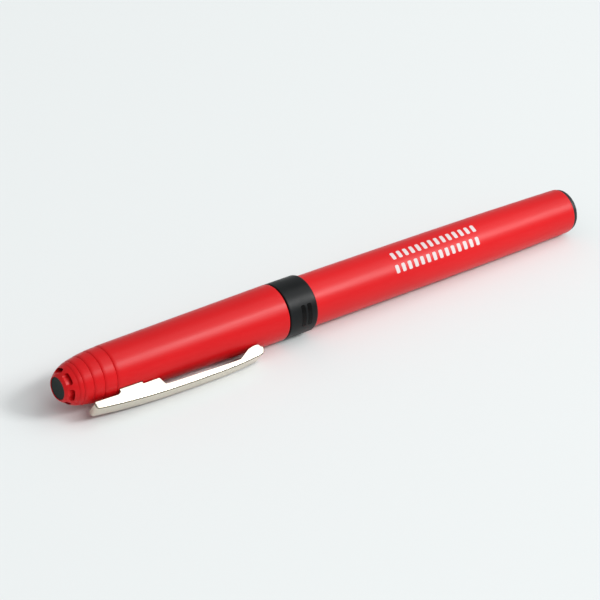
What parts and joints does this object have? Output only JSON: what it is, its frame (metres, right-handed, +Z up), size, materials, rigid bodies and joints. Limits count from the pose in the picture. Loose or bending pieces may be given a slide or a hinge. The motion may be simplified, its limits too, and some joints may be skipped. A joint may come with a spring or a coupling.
{
  "type": "rollerball pen",
  "caption": "Capped rollerball pen lying on its side: ringed crown, steel clip, rubber grip collar and tapered barrel.",
  "frame": {"origin": "centre of the flat disc in the cap's crown", "axes": "+X along the pen's axis from the crown to the barrel's end, +Z up with the pen lying on its side, the clip towards -Y and 31.5 degrees below the horizontal"},
  "size_m": [0.1385, 0.0149, 0.0126],
  "materials": {
    "cap_red": "satin",
    "barrel_red": "satin",
    "crown_disc": "satin",
    "end_black": "satin",
    "grip_rubber": "matte",
    "section_black": "satin",
    "clip_nickel": "polished",
    "point_nickel": "polished",
    "ball_carbide": "polished",
    "liner_white": "satin",
    "seal_grey": "matte",
    "wick_fibre": "matte",
    "reservoir_ink": "matte",
    "film_clear": "gloss"
  },
  "bodies": {
    "pen": {"barrel": "barrel_red", "end_plug": "end_black", "section": "section_black", "grip_sleeve": "grip_rubber", "nose_cone": "section_black", "tip_holder": "section_black", "point": "point_nickel", "feed_wick": "wick_fibre", "reservoir_fibre": "reservoir_ink", "reservoir_sleeve": "film_clear"},
    "cap_liner": {"inner_cap": "liner_white", "point_seal": "seal_grey"},
    "cap": {"cap_shell": "cap_red", "crown_plug": "crown_disc"},
    "clip": {"clip": "clip_nickel"},
    "ball": {"ball": "ball_carbide"}
  },
  "joints": [
    {"name": "cap_pull", "type": "slide", "parent": "pen", "child": "cap_liner", "axis": [-1, 0, 0], "range_m": [0, 0.06]},
    {"name": "cap_turn", "type": "hinge", "parent": "cap_liner", "child": "cap", "pos_m": [0.03, 0, 0], "axis": [1, 0, 0], "continuous": true},
    {"name": "clip_flex", "type": "hinge", "parent": "cap", "child": "clip", "pos_m": [0.0112, -0.00469, -0.00287], "axis": [0, 0.5225, -0.8526], "range_deg": [0, 4], "stiffness_Nm_per_rad": 0.8},
    {"name": "ball_roll", "type": "hinge", "parent": "pen", "child": "ball", "pos_m": [0.00725, 0, 0], "axis": [0, 1, 0], "continuous": true}
  ]
}
